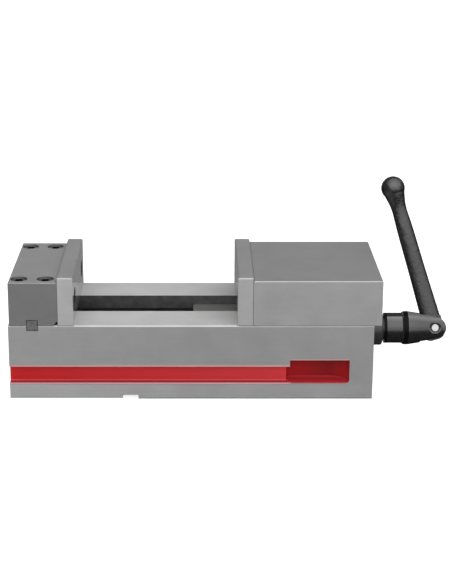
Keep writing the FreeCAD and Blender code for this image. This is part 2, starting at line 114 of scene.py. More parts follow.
# %% [markdown]
# ## What every finish asks
#
# A finish asks two things of a point: which way its face looks, because dust and wear choose
# sides, and what a noise pattern says there. Noise hardly ever leaves the span from 0.3 to 0.7,
# so a range that reads a noise starts and ends there.

# %% The way a face looks, and a colour that varies with a noise
NOISE_SPAN = {"From Min": 0.3, "From Max": 0.7}


def facing(tree):
    """How far the face looks along X, Y and Z, each from -1 to 1."""
    return node(tree, "SeparateXYZ", {0: node(tree, "TexCoord").outputs["Normal"]}).outputs


def vary(tree, colour, pattern, low, high):
    """Make a colour darker and lighter along with a pattern, by factors from low to high."""
    amount = node(tree, "MapRange", {"Value": pattern, **NOISE_SPAN, "To Min": low, "To Max": high})
    return node(tree, "VectorMath", {0: colour, 1: amount}, operation="MULTIPLY")


# %% [markdown]
# ## Zones
#
# Some finishes cover a part of a piece only: the bed's enamel, the grime in a screw hole. They
# could be painted on as a texture, but the edges between them are straight and known to a tenth
# of a millimetre, so each zone is a box, and a point takes the finish of the box that it lies
# in. The vise is alike on both sides, so the point's place is first folded onto one side.

# %% Whether a point lies in a box, given by two corners in millimetres
def folded_place(tree):
    x, y, z = node(tree, "SeparateXYZ", {0: node(tree, "TexCoord").outputs["Object"]}).outputs
    return node(tree, "CombineXYZ", {0: x, 1: node(tree, "Math", {0: y}, operation="ABSOLUTE"), 2: z})


def inside(tree, place, zone):
    """One inside the box between two corners, and zero outside it."""
    low, high = zone
    centre = [(a + b) / 2 * MM for a, b in zip(low, high)]
    half = [(b - a) / 2 * MM for a, b in zip(low, high)]
    offset = node(tree, "VectorMath", {0: place, 1: centre}, operation="SUBTRACT")
    share = node(tree, "VectorMath", {0: offset, 1: half}, operation="DIVIDE")
    away = node(tree, "VectorMath", {0: share}, operation="ABSOLUTE")
    x, y, z = node(tree, "SeparateXYZ", {0: away}).outputs
    flat = node(tree, "Math", {0: x, 1: y}, operation="MAXIMUM")
    widest = node(tree, "Math", {0: flat, 1: z}, operation="MAXIMUM")
    return node(tree, "Math", {0: widest, 1: 1.0}, operation="LESS_THAN")


def in_either(tree, place, first, second):
    return node(tree, "Math", {0: inside(tree, place, first), 1: inside(tree, place, second)},
                operation="MAXIMUM")


# %% [markdown]
# ## Ground cast iron and steel
#
# The bed and jaws are ductile iron, and the plates hardened steel. Their tops come off a surface grinder,
# which leaves fine lines along the table's travel. The sides are milled and then lightly ground, and the
# small bevels are stoned by hand. The grey is chosen by which way the face looks, so one material serves
# a whole casting. The pale tops, darker sides and brighter bevels are partly painted light, set to how
# each face is lit, and the bright bevels are a painted highlight.
# Real grinding lines are about 0.05 mm apart, too fine to show, so they are drawn 0.8 mm apart.
# A metal's metallic value starts at 1. Ground iron in a workshop carries a film of oil and fine
# oxide that scatters some of the light, so here it is 0.75.

# %% Grinding lines, and the tone of top, sides and bevels
GRIND_LINE = 0.8
GRIND_LENGTH = 45.0
GRIND_TONE = 0.965, 1.03
CLOUD = 28.0
CLOUD_TONE = 0.95, 1.045
BEVEL_TILT = {"From Min": 0.3, "From Max": 0.5}
TOP_TILT = {"From Min": 0.85, "From Max": 0.95}


def grinding_lines(tree, place):
    stretched = node(tree, "Mapping", {"Vector": place, "Scale": (1 / GRIND_LENGTH, 1, 1)})
    return node(tree, "TexNoise", {"Vector": stretched, "Scale": per_mm(GRIND_LINE),
                                   "Detail": 3, "Roughness": 0.6})


def ground_tone(tree, place, lines, top, side, bevel):
    """Grey by the way the face looks, partly painted light, with the lines and a faint cloud over it."""
    tilt = node(tree, "Math", {0: facing(tree)["Z"]}, operation="ABSOLUTE")
    leaning = node(tree, "MapRange", {"Value": tilt, **BEVEL_TILT})
    level = node(tree, "MapRange", {"Value": tilt, **TOP_TILT})
    flank = node(tree, "Mix", {0: leaning, 6: side, 7: bevel}, data_type="RGBA")
    tone = node(tree, "Mix", {0: level, 6: flank, 7: top}, data_type="RGBA")
    cloud = node(tree, "TexNoise", {"Vector": place, "Scale": per_mm(CLOUD), "Detail": 3,
                                    "Roughness": 0.55})
    return vary(tree, vary(tree, tone, lines, *GRIND_TONE), cloud, *CLOUD_TONE)


print("grinding lines", GRIND_LINE, "mm apart and", GRIND_LINE * GRIND_LENGTH, "mm long")

# %% [markdown]
# ## Wear and dirt on ground metal
#
# The plates' working faces, square to the travel, are lapped: seen along their length they mirror the
# rails, and a painted shade darkens them. Bevels that run across the travel are made brighter than the
# long ones, as a painted highlight. Where a plate sits against its jaw, a thread of dirt fills the seam,
# and its screw holes are painted near black, as painted shade. Oil has left spots about 4 mm across on
# the key.

# %% Ground metal as a material
GROUND_METALLIC = 0.75
GROUND_ROUGH = {"To Min": 0.45, "To Max": 0.55}
GRIND_RELIEF = {"Distance": 0.004 * MM, "Strength": 0.5}
SQUARE_ON = 0.95
CROSS_SLOPE = 0.4
CROSS_BEVEL_HIGHLIGHT = 1.35
OIL_SPOT = 4.0
HOLE_SHADE_BLACK = "#0C0C0C"
SEAM_DIRT = {"From Min": 0.4 * MM, "From Max": 0.8 * MM, "To Min": 0.7, "To Max": 0.0}
END_FACE = 0.7


def seam_dirt(tree, place, seam):
    """Share of dirt near a seam that crosses the travel, on the ends of the plate alone."""
    x = node(tree, "SeparateXYZ", {0: place}).outputs["X"]
    offset = node(tree, "Math", {0: x, 1: seam}, operation="SUBTRACT")
    away = node(tree, "Math", {0: offset}, operation="ABSOLUTE")
    dirt = node(tree, "MapRange", {"Value": away, **SEAM_DIRT})
    across = node(tree, "Math", {0: facing(tree)["Y"]}, operation="ABSOLUTE")
    end_face = node(tree, "Math", {0: across, 1: END_FACE}, operation="GREATER_THAN")
    return node(tree, "Math", {0: dirt, 1: end_face}, operation="MULTIPLY")


def ground_metal(name, top, side, bevel, working=0.5, shade=1.0, seam=None, hole=None, mottle=0.0):
    """Ground metal, with its own roughness and a painted shade on the faces square to the travel, with
    dirt along a seam and painted shade in the screw holes."""
    made, tree = material(name)
    place = node(tree, "TexCoord").outputs["Object"]
    lines = grinding_lines(tree, place)
    tone = ground_tone(tree, place, lines, top, side, bevel)
    if mottle:
        oil = node(tree, "TexNoise", {"Vector": place, "Scale": per_mm(OIL_SPOT), "Detail": 3})
        tone = vary(tree, tone, oil, 1 - mottle, 1 + mottle)
    # Painted shade: faces square to the travel are darkened by the factor shade.
    along = node(tree, "Math", {0: facing(tree)["X"]}, operation="ABSOLUTE")
    square = node(tree, "Math", {0: along, 1: SQUARE_ON}, operation="GREATER_THAN")
    darker = node(tree, "MapRange", {"Value": square, "To Min": 1.0, "To Max": shade})
    tone = node(tree, "VectorMath", {0: tone, 1: darker}, operation="MULTIPLY")
    # Painted highlight: bevels that run across the travel are made brighter.
    slope = node(tree, "Math", {0: along, 1: facing(tree)["Z"]}, operation="MULTIPLY")
    cross_bevel = node(tree, "Math", {0: slope, 1: CROSS_SLOPE}, operation="GREATER_THAN")
    paler = node(tree, "MapRange", {"Value": cross_bevel, "To Min": 1.0, "To Max": CROSS_BEVEL_HIGHLIGHT})
    tone = node(tree, "VectorMath", {0: tone, 1: paler}, operation="MULTIPLY")
    # Painted shade: the screw holes are made near black.
    if hole is not None:
        in_hole = inside(tree, folded_place(tree), hole)
        tone = node(tree, "Mix", {0: in_hole, 6: tone, 7: HOLE_SHADE_BLACK}, data_type="RGBA")
    if seam is not None:
        dirt = seam_dirt(tree, place, seam)
        tone = node(tree, "Mix", {0: dirt, 6: tone, 7: "#000000"}, data_type="RGBA")
    satin = node(tree, "MapRange", {"Value": lines, **NOISE_SPAN, **GROUND_ROUGH})
    rough = node(tree, "Mix", {0: square, 2: satin, 3: working})
    relief = node(tree, "Bump", {"Height": lines, **GRIND_RELIEF})
    dress(tree, {"Base Color": tone, "Metallic": GROUND_METALLIC, "Roughness": rough, "Normal": relief})
    return made


# %% [markdown]
# ## The bed's zones
#
# The bed is one casting with several zones: ground outside, red in the grooves and hand pockets, a darker
# grey in the channel, worn pale pink along the grooves' lips under a painted highlight, and paler on the
# foot below them, as painted light.

# %% Boxes on the bed, in millimetres
bed_low, bed_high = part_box("bed")
GROOVE = (-184.9, 67.75, 17.45), (161.5, 74.7, 35.05)
POCKET = (97.0, 56.75, 17.45), (161.5, 74.9, 42.0)
CHANNEL = (-186, -1, 23.75), (184.9, 37.25, 78.75)
GROOVE_LIP = (-186, 74.95, 35.0), (100.4, 75.05, 36.9)
POCKET_LIP = (100.4, 74.95, 41.9), (161.2, 75.05, 43.0)
LOWER_LIP = (-186, 74.2, 15.9), (158, 75.1, 17.45)
FOOT = (-186, 74.9, -1), (186, 75.1, 15.9)
FOOT_EDGE = (-186, 70, -1), (186, 75.1, 1.1)
FILLET_LINE = (-186, 67, 18.2), (97, 70.5, 19.2)

print("bed is", [round(v / MM, 1) for v in bed_high - bed_low], "mm")

# %% [markdown]
# ## Red enamel in the grooves
#
# The clamping grooves and hand pockets are left as cast and brushed with red enamel. Enamel flows out
# smooth, with a faint orange peel about 2 mm across over the sand-cast skin. The red is a little paler
# toward the handle and darker on the grooves' floors. In the pockets it carries painted shade and light:
# darkest deep inside and under the lip, darker on the rounded foot of the wall, and paler at the near end
# and on the floor. Under each lip a painted shadow darkens the red, and along the foot of the grooves'
# wall a lighter line is a painted highlight. Where the lips are handled, the enamel and the grey wear to
# a pale pink line, which also carries a painted highlight. New enamel has a roughness near 0.3 and full
# gloss. This one is dulled by dust and coolant and lies in the shade of its lips, so it is rougher, and
# its gloss is low, lowest in the pockets.

# %% Enamel by place
ENAMEL_FAR = "#9C0C10"
ENAMEL_NEAR = "#A42428"
ENAMEL_FLOOR = "#8F272D"
FILLET_HIGHLIGHT = "#D8747A"
POCKET_FAR = "#91171B"
POCKET_DEEP = "#79161A"
POCKET_NEAR = "#941E21"
POCKET_FLOOR = "#A1252B"
FLOOR_TILT = 0.6
TILTED_WALL_SHADE = {"From Max": 0.3, "To Min": 1.0, "To Max": 0.78}
FOOT_TILT = {"From Min": 0.35, "From Max": 0.6}
GROOVE_SPAN = {"From Min": -170 * MM, "From Max": 100 * MM}
POCKET_IN = {"From Min": 104 * MM, "From Max": 140 * MM}
POCKET_OUT = {"From Min": 143 * MM, "From Max": 158 * MM}
POCKET_SHADE = {"From Min": 24 * MM, "From Max": 41 * MM, "To Min": 1.0, "To Max": 0.74}
BRUSH_WIDTH = 3.0
BRUSH_LENGTH = 12.0
BRUSH_TONE = 0.94, 1.05
FILLET_HIGHLIGHT_SHARE = 0.2
GROOVE_TOP = GROOVE[1][2] * MM
POCKET_TOP = POCKET[1][2] * MM
LIP_SHADOW = {"From Max": 2.4 * MM, "To Min": 0.3, "To Max": 1.0}


def groove_tone(tree, x, floor):
    along = node(tree, "MapRange", {"Value": x, **GROOVE_SPAN})
    wall = node(tree, "Mix", {0: along, 6: ENAMEL_FAR, 7: ENAMEL_NEAR}, data_type="RGBA")
    return node(tree, "Mix", {0: floor, 6: wall, 7: ENAMEL_FLOOR}, data_type="RGBA")


def pocket_tone(tree, x, z, up):
    """Painted shade: darkest deep in the pocket and under its lip, and darker on whatever leans upward.
    Painted light: paler at the near end and on the floor.
    """
    # Painted shade deep in the pocket, painted light at its near end.
    inward = node(tree, "MapRange", {"Value": x, **POCKET_IN})
    wall = node(tree, "Mix", {0: inward, 6: POCKET_FAR, 7: POCKET_DEEP}, data_type="RGBA")
    outward = node(tree, "MapRange", {"Value": x, **POCKET_OUT})
    wall = node(tree, "Mix", {0: outward, 6: wall, 7: POCKET_NEAR}, data_type="RGBA")
    shade = node(tree, "MapRange", {"Value": z, **POCKET_SHADE})
    wall = node(tree, "VectorMath", {0: wall, 1: shade}, operation="MULTIPLY")
    # Painted shade: walls that lean upward are darkened.
    tilted_wall_shade = node(tree, "MapRange", {"Value": up, **TILTED_WALL_SHADE})
    wall = node(tree, "VectorMath", {0: wall, 1: tilted_wall_shade}, operation="MULTIPLY")
    # Painted light: the floor takes a paler red.
    foot = node(tree, "MapRange", {"Value": up, **FOOT_TILT})
    return node(tree, "Mix", {0: foot, 6: wall, 7: POCKET_FLOOR}, data_type="RGBA")


def enamel_tone(tree, place, pocket):
    parts = node(tree, "SeparateXYZ", {0: place}).outputs
    x, z, up = parts["X"], parts["Z"], facing(tree)["Z"]
    floor = node(tree, "Math", {0: up, 1: FLOOR_TILT}, operation="GREATER_THAN")
    red = node(tree, "Mix", {0: pocket, 6: groove_tone(tree, x, floor), 7: pocket_tone(tree, x, z, up)},
               data_type="RGBA")
    brushed = node(tree, "Mapping", {"Vector": place, "Scale": (1 / BRUSH_LENGTH, 1, 1)})
    strokes = node(tree, "TexNoise", {"Vector": brushed, "Scale": per_mm(BRUSH_WIDTH)})
    red = vary(tree, red, strokes, *BRUSH_TONE)
    # Painted highlight: a lighter line along the foot of the groove's wall.
    edge = node(tree, "Math", {0: inside(tree, place, FILLET_LINE), 1: FILLET_HIGHLIGHT_SHARE},
                operation="MULTIPLY")
    red = node(tree, "Mix", {0: edge, 6: red, 7: FILLET_HIGHLIGHT}, data_type="RGBA")
    # Painted shadow: the red darkens toward each lip.
    lip = node(tree, "MapRange", {"Value": pocket, "To Min": GROOVE_TOP, "To Max": POCKET_TOP})
    below = node(tree, "Math", {0: lip, 1: z}, operation="SUBTRACT")
    lip_shadow = node(tree, "MapRange", {"Value": below, **LIP_SHADOW})
    return node(tree, "VectorMath", {0: red, 1: lip_shadow}, operation="MULTIPLY")


print("enamel ends under lips", GROOVE[1][2], "and", POCKET[1][2], "mm above the base")

# %% [markdown]
# ## The whole bed
#
# The zones are laid over the ground metal one by one: the foot below the groove, made paler as painted
# light from the bright floor, with a painted shadow along its bottom edge, then the channel, a darker
# grey with mottling, then the lips, pale pink from wear, with a painted highlight, and last the enamel,
# which also takes away the metal's sheen and adds its own skin.

# %% The bed's metal
BED_TOP = "#DEDEDE"
BED_BEVEL = "#A0A0A0"
BED_SIDE_FAR = "#9F9F9F"
BED_SIDE_NEAR = "#999999"
FOOT_EDGE_SHADE = "#4A4A4A"
UPPER_LIP_WEAR_AND_HIGHLIGHT = "#C4A19F"
LOWER_LIP_WEAR_AND_HIGHLIGHT = "#A48485"
CHANNEL_GREY = "#535353"
SIDE_SPAN = {"From Min": -150 * MM, "From Max": 0.0}
FOOT_FLOOR_LIGHT = {"To Min": 1.245, "To Max": 1.13}
FOOT_FADE = {"From Min": 140 * MM, "From Max": 176 * MM, "To Min": 1.0, "To Max": 0.2}
CHANNEL_MOTTLE = 9.0
CHANNEL_MOTTLE_TONE = 0.7, 1.25


def bed_metal(tree, place, lines):
    x = node(tree, "SeparateXYZ", {0: place}).outputs["X"]
    along = node(tree, "MapRange", {"Value": x, **SIDE_SPAN})
    side = node(tree, "Mix", {0: along, 6: BED_SIDE_FAR, 7: BED_SIDE_NEAR}, data_type="RGBA")
    iron = ground_tone(tree, place, lines, BED_TOP, side, BED_BEVEL)
    # Painted light: the foot is paler, most at the far end, for the light from the bright floor.
    paler = node(tree, "MapRange", {"Value": along, **FOOT_FLOOR_LIGHT})
    foot = node(tree, "VectorMath", {0: iron, 1: paler}, operation="MULTIPLY")
    fade = node(tree, "MapRange", {"Value": x, **FOOT_FADE})
    below = node(tree, "Math", {0: inside(tree, place, FOOT), 1: fade}, operation="MULTIPLY")
    mottle = node(tree, "TexNoise", {"Vector": place, "Scale": per_mm(CHANNEL_MOTTLE), "Detail": 4,
                                    "Roughness": 0.6})
    layers = [
        (below, foot),
        # Painted shadow along the foot's bottom edge.
        (inside(tree, place, FOOT_EDGE), FOOT_EDGE_SHADE),
        (inside(tree, place, CHANNEL), vary(tree, CHANNEL_GREY, mottle, *CHANNEL_MOTTLE_TONE)),
        # Pale pink wear on the lips, with a painted highlight on their edges.
        (in_either(tree, place, GROOVE_LIP, POCKET_LIP), UPPER_LIP_WEAR_AND_HIGHLIGHT),
        (inside(tree, place, LOWER_LIP), LOWER_LIP_WEAR_AND_HIGHLIGHT),
    ]
    for share, layer in layers:
        iron = node(tree, "Mix", {0: share, 6: iron, 7: layer}, data_type="RGBA")
    return iron


# %% Metal and enamel as one material
ENAMEL_ROUGH = 0.5
GROOVE_GLOSS = 0.18
POCKET_GLOSS = 0.06
ORANGE_PEEL = 2.0
PEEL_RELIEF = {"Distance": 0.05 * MM, "Strength": 0.6}


def painted_bed(name):
    made, tree = material(name)
    place = folded_place(tree)
    lines = grinding_lines(tree, place)
    pocket = inside(tree, place, POCKET)
    painted = in_either(tree, place, GROOVE, POCKET)
    tone = node(tree, "Mix", {0: painted, 6: bed_metal(tree, place, lines),
                              7: enamel_tone(tree, place, pocket)}, data_type="RGBA")
    metallic = node(tree, "Mix", {0: painted, 2: GROUND_METALLIC, 3: 0.0})
    satin = node(tree, "MapRange", {"Value": lines, **NOISE_SPAN, **GROUND_ROUGH})
    rough = node(tree, "Mix", {0: painted, 2: satin, 3: ENAMEL_ROUGH})
    gloss = node(tree, "Mix", {0: pocket, 2: GROOVE_GLOSS, 3: POCKET_GLOSS})
    peel = node(tree, "TexNoise", {"Vector": place, "Scale": per_mm(ORANGE_PEEL)})
    skin = node(tree, "Math", {0: peel, 1: painted}, operation="MULTIPLY")
    relief = node(tree, "Bump", {"Height": skin, **PEEL_RELIEF})
    dress(tree, {"Base Color": tone, "Metallic": metallic, "Roughness": rough,
                 "Specular IOR Level": gloss, "Normal": relief})
    return made


bed_finish = painted_bed("ground iron with red enamel")
print("bed finish has", len(bed_finish.node_tree.nodes), "nodes")

# %% [markdown]
# ## Treated steel
#
# The small parts are turned or milled steel under a thin treatment: black oxide from a hot
# salt bath, grey phosphate, or none. The treatment is too thin to hide the machining, so all
# of them are one satin metal with a fine grain. The real grain is about 0.05 mm, too fine to
# show, so it is drawn 0.6 to 0.8 mm across. On the fixed jaw's cap screws the black has worn
# off the flat of the head, where the key slips, and stays in the socket and on the chamfer.
# The plates' screws lie below the working face, in their holes, and their black is darkened and dulled as
# painted shade.

# %% Small steel parts
GRAIN_TONE = 0.94, 1.06
GRAIN_ROUGH = 0.04
GRAIN_RELIEF = {"Distance": 0.004 * MM, "Strength": 0.6}
CAP_BLACK = "#272728"
CAP_BARE = "#8C8C8C"
HEAD_FLAT = 0.15 * MM
SCREW_SHADE_BLACK = "#101010"
SPECKLE = 1.0
SPECKLE_TONE = 0.7, 1.4


def satin_steel(tree, tone, roughness, metallic, grain):
    place = node(tree, "TexCoord").outputs["Object"]
    grains = node(tree, "TexNoise", {"Vector": place, "Scale": per_mm(grain), "Detail": 3,
                                     "Roughness": 0.6})
    rough = node(tree, "MapRange", {"Value": grains, **NOISE_SPAN,
                                    "To Min": roughness - GRAIN_ROUGH, "To Max": roughness + GRAIN_ROUGH})
    relief = node(tree, "Bump", {"Height": grains, **GRAIN_RELIEF})
    dress(tree, {"Base Color": vary(tree, tone, grains, *GRAIN_TONE), "Metallic": metallic,
                 "Roughness": rough, "Normal": relief})


def treated_steel(name, colour, roughness, metallic=1.0, grain=0.6):
    made, tree = material(name)
    satin_steel(tree, colour, roughness, metallic, grain)
    return made


def worn_cap_steel(name, level):
    """Black oxide, worn bare on the flat of the head, which lies at a level above the base."""
    made, tree = material(name)
    height = node(tree, "SeparateXYZ", {0: node(tree, "TexCoord").outputs["Object"]}).outputs["Z"]
    offset = node(tree, "Math", {0: height, 1: level}, operation="SUBTRACT")
    away = node(tree, "Math", {0: offset}, operation="ABSOLUTE")
    bare = node(tree, "Math", {0: away, 1: HEAD_FLAT}, operation="LESS_THAN")
    tone = node(tree, "Mix", {0: bare, 6: CAP_BLACK, 7: CAP_BARE}, data_type="RGBA")
    satin_steel(tree, tone, roughness=0.4, metallic=1.0, grain=0.6)
    return made


# Black oxide, darkened and dulled as painted shade of the screws' holes.
def oxide_in_painted_shade(name):
    made, tree = material(name)
    place = node(tree, "TexCoord").outputs["Object"]
    speckle = node(tree, "TexNoise", {"Vector": place, "Scale": per_mm(SPECKLE), "Detail": 3})
    dress(tree, {"Base Color": vary(tree, SCREW_SHADE_BLACK, speckle, *SPECKLE_TONE), "Roughness": 0.9,
                 "Specular IOR Level": 0.05})
    return made


# %% [markdown]
# ## Black paint on the handle
#
# The handle is a casting in semi-gloss black. The arm keeps its sand-cast skin, with dents
# about 4 mm across, and hands have rubbed its ball to a higher gloss. Paint has an IOR of about
# 1.5, and the rubbed ball gets a higher one.

# %% Cast black paint, and the arm that wears it
PAINT_TONE = 0.8, 1.2
PAINT_ROUGH = 0.08
ARM_BLACK = "#101010"
ARM_ROUGH = 0.32
ARM_DENT = 4.0
ARM_RELIEF = 0.9 * MM
RUBBED_BALL = {"From Min": 176 * MM, "From Max": 186 * MM, "To Min": 1.54, "To Max": 1.7}


def black_paint(tree, tone, roughness, grain, depth, gloss):
    """Semi-gloss paint over a surface with grains of a given size and depth."""
    place = node(tree, "TexCoord").outputs["Object"]
    skin = node(tree, "TexNoise", {"Vector": place, "Scale": per_mm(grain), "Detail": 4,
                                   "Roughness": 0.6})
    rough = node(tree, "MapRange", {"Value": skin, **NOISE_SPAN,
                                    "To Min": roughness - PAINT_ROUGH, "To Max": roughness + PAINT_ROUGH})
    relief = node(tree, "Bump", {"Height": skin, "Distance": depth, "Strength": 0.8})
    dress(tree, {"Base Color": vary(tree, tone, skin, *PAINT_TONE), "Roughness": rough, "IOR": gloss,
                 "Normal": relief})


def arm_finish():
    made, tree = material("cast arm, semi-gloss black")
    height = node(tree, "SeparateXYZ", {0: node(tree, "TexCoord").outputs["Object"]}).outputs["Z"]
    gloss = node(tree, "MapRange", {"Value": height, **RUBBED_BALL})
    black_paint(tree, ARM_BLACK, ARM_ROUGH, ARM_DENT, ARM_RELIEF, gloss)
    return made


# %% [markdown]
# ## The hub's sleeve, band and fork
#
# The hub's sleeve has been turned smooth, its fork is as cast. Around the hub's shoulder, and at the
# sleeve's open end, a band is painted near black, as painted shade. A grey film on the upper side is
# painted light, kept off the sleeve's crest. Below the pin the lower rim of its countersink is a dull
# light crescent, a painted highlight. Each of these is a share from 0 to 1, found from the point's place
# or from the way its face looks. Turning marks are finer than the render can show, so the paint's grain
# is drawn 1 mm across. The band's IOR is set lower than that of any clear coat, so that it gives back
# little light.

# %% The painted shade band and the painted top light
SCREW_HEIGHT = 51.7 * MM
LEAN = math.radians(-18)
hub_open_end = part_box("handle_hub")[0].x
SLEEVE_EDGE = 2.4 * MM
BAND_START = 223.4 * MM
BAND_END = 228.2 * MM
TOP_LIGHT_TILT = {"From Min": 0.65, "From Max": 0.9}
TOP_LIGHT_CREST_GAP = {"From Min": 0.895, "From Max": 0.93, "To Min": 1.0, "To Max": 0.0}
SLEEVE_TOP_LIGHT = 0.45
FORK_TOP_LIGHT = 0.34


# Painted shade: a near-black band at the shoulder and at the sleeve's open end.
def painted_shade_band(tree, x):
    past = node(tree, "Math", {0: x, 1: BAND_START}, operation="GREATER_THAN")
    before = node(tree, "Math", {0: x, 1: BAND_END}, operation="LESS_THAN")
    shoulder = node(tree, "Math", {0: past, 1: before}, operation="MULTIPLY")
    edge = node(tree, "Math", {0: x, 1: hub_open_end + SLEEVE_EDGE}, operation="LESS_THAN")
    return node(tree, "Math", {0: shoulder, 1: edge}, operation="MAXIMUM")


# Painted light: grey on faces that look up, kept off the sleeve's crest.
def painted_top_light(tree, x):
    up = facing(tree)["Z"]
    facing_up = node(tree, "MapRange", {"Value": up, **TOP_LIGHT_TILT})
    crest = node(tree, "MapRange", {"Value": up, **TOP_LIGHT_CREST_GAP})
    fork = node(tree, "Math", {0: x, 1: BAND_END}, operation="GREATER_THAN")
    off_crest = node(tree, "Math", {0: crest, 1: fork}, operation="MAXIMUM")
    film = node(tree, "MapRange", {"Value": x, "From Min": BAND_START, "From Max": BAND_END,
                                   "To Min": SLEEVE_TOP_LIGHT, "To Max": FORK_TOP_LIGHT})
    lit_top = node(tree, "Math", {0: facing_up, 1: film}, operation="MULTIPLY")
    return node(tree, "Math", {0: lit_top, 1: off_crest}, operation="MULTIPLY")


print("hub's band is", round((BAND_END - BAND_START) / MM, 1), "mm wide")

# %% The countersink's painted rim highlight, and the hub's material
PIN_PLACE = (256.4 * MM, 0, SCREW_HEIGHT)
RIM_MIDDLE = 5.5 * MM
RIM_HALF = 0.7 * MM
RIM_FADE = 1.5 * MM
FORK_START = 240 * MM
SLEEVE_GLOSS, FORK_GLOSS, BAND_GLOSS = 1.6, 1.53, 1.14
HUB_BLACK = "#161616"
TOP_LIGHT_GREY = "#8A8A8A"
BAND_SHADE = "#0A0A0A"
RIM_HIGHLIGHT_GREY = "#585858"
HUB_ROUGH = 0.28
HUB_GRAIN = 1.0
HUB_RELIEF = 0.01 * MM


def painted_rim_highlight(tree, place):
    """Painted highlight on the lower half of a ring around the pin, whose lean is first turned back."""
    upright = node(tree, "VectorRotate", {"Vector": place, "Center": PIN_PLACE, "Angle": -LEAN},
                   rotation_type="X_AXIS")
    flat = node(tree, "VectorMath", {0: upright, 1: (1, 0, 1)}, operation="MULTIPLY")
    from_pin = node(tree, "VectorMath", {0: flat, 1: PIN_PLACE}, operation="DISTANCE")
    offset = node(tree, "Math", {0: from_pin, 1: RIM_MIDDLE}, operation="SUBTRACT")
    off_rim = node(tree, "Math", {0: offset}, operation="ABSOLUTE")
    rim = node(tree, "Math", {0: off_rim, 1: RIM_HALF}, operation="LESS_THAN")
    height = node(tree, "SeparateXYZ", {0: upright}).outputs["Z"]
    low = node(tree, "MapRange", {"Value": height, "From Min": SCREW_HEIGHT + RIM_FADE,
                                  "From Max": SCREW_HEIGHT - RIM_FADE})
    return node(tree, "Math", {0: rim, 1: low}, operation="MULTIPLY")


def hub_finish():
    made, tree = material("turned hub, semi-gloss black")
    place = node(tree, "TexCoord").outputs["Object"]
    x = node(tree, "SeparateXYZ", {0: place}).outputs["X"]
    band = painted_shade_band(tree, x)
    black = node(tree, "Mix", {0: painted_top_light(tree, x), 6: HUB_BLACK, 7: TOP_LIGHT_GREY}, data_type="RGBA")
    tone = node(tree, "Mix", {0: band, 6: black, 7: BAND_SHADE}, data_type="RGBA")
    tone = node(tree, "Mix", {0: painted_rim_highlight(tree, place), 6: tone, 7: RIM_HIGHLIGHT_GREY}, data_type="RGBA")
    gloss = node(tree, "MapRange", {"Value": x, "From Min": BAND_END, "From Max": FORK_START,
                                    "To Min": SLEEVE_GLOSS, "To Max": FORK_GLOSS})
    gloss = node(tree, "Mix", {0: band, 2: gloss, 3: BAND_GLOSS})
    black_paint(tree, tone, HUB_ROUGH, HUB_GRAIN, HUB_RELIEF, gloss)
    return made


# %% [markdown]
# ## Every finish by name, and the nodes that wear it
#
# The castings and plates are ground metal, each with its own greys for top, side and bevel, which are
# partly painted light, set to how each face is lit.
# The rest goes by treatment. One table names the finishes, a second says which node wears
# which, and each node gets it in place of the plain one that it arrives with.

# %% The finishes
jaw_screw_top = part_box("fixed_jaw_screw_1")[1].z
fixed_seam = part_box("fixed_plate")[0].x
movable_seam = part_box("movable_plate")[1].x
# Boxes around the plates' screw holes, which take painted shade.
FIXED_HOLE = (-134.8, 39, 93.8), (-118.75, 57, 111.8)
MOVABLE_HOLE = (46.85, 39, 93.8), (62.9, 57, 111.8)
# The lapped faces: low roughness, and a painted shade.
LAPPED = {"working": 0.1, "shade": 0.76}

FINISHES = {
    "bed_iron": bed_finish,
    "fixed_iron": ground_metal("ground iron of the fixed jaw", "#ABABAB", "#7A7A7A", "#767676"),
    "movable_iron": ground_metal("ground iron of the movable jaw", "#A5A5A5", "#A0A0A0", "#969696"),
    "fixed_face": ground_metal("lapped steel of the fixed plate", "#AAAAAA", "#B3B3B3", "#929292",
                               seam=fixed_seam, hole=FIXED_HOLE, **LAPPED),
    "movable_face": ground_metal("lapped steel of the movable plate", "#AAAAAA", "#A9A9A9", "#929292",
                                 seam=movable_seam, hole=MOVABLE_HOLE, **LAPPED),
    # The key's dark bevels are painted shade.
    "key_steel": ground_metal("ground key steel", "#808080", "#717171", "#3C3C3C", mottle=0.3),
    "nut_steel": treated_steel("phosphated steel", "#90908E", 0.55, grain=0.8),
    "black_steel": treated_steel("black oxide", "#3C3C3D", 0.4, metallic=0.6),
    "jaw_cap": worn_cap_steel("worn black oxide, jaw screws", jaw_screw_top),
    "plate_cap": oxide_in_painted_shade("black oxide in painted shade, plate screws"),
    "screw_steel": treated_steel("turned steel", "#9A9A98", 0.35),
    "bearing_steel": treated_steel("polished bearing steel", "#C8C8C8", 0.2),
    "bronze": treated_steel("bearing bronze", "#B08040", 0.35),
    "hub_black": hub_finish(),
    "arm_black": arm_finish(),
    "pin_steel": treated_steel("bright pin", "#A4A4A4", 0.35),
}

# %% The nodes that wear them
WEARS = {
    "bed": "bed_iron", "fixed_jaw": "fixed_iron", "movable_jaw": "movable_iron",
    "fixed_plate": "fixed_face", "movable_plate": "movable_face", "fixed_jaw_key": "key_steel",
    "fixed_jaw_screw_1": "jaw_cap", "fixed_jaw_screw_2": "jaw_cap",
    "fixed_jaw_screw_3": "jaw_cap", "fixed_jaw_screw_4": "jaw_cap",
    "fixed_plate_screw_1": "plate_cap", "fixed_plate_screw_2": "plate_cap",
    "movable_plate_screw_1": "plate_cap", "movable_plate_screw_2": "plate_cap",
    "nut": "nut_steel", "half_ball": "bearing_steel", "jaw_set_screw": "black_steel",
    "lead_screw": "screw_steel", "screw_bush": "bronze",
    "bearing_housing_washer": "bearing_steel", "bearing_shaft_washer": "bearing_steel",
    "bearing_cage": "bronze", "bearing_balls": "bearing_steel",
    "screw_collar": "black_steel", "collar_set_screw": "black_steel",
    "handle_hub": "hub_black", "handle_arm": "arm_black", "handle_pin": "pin_steel",
}

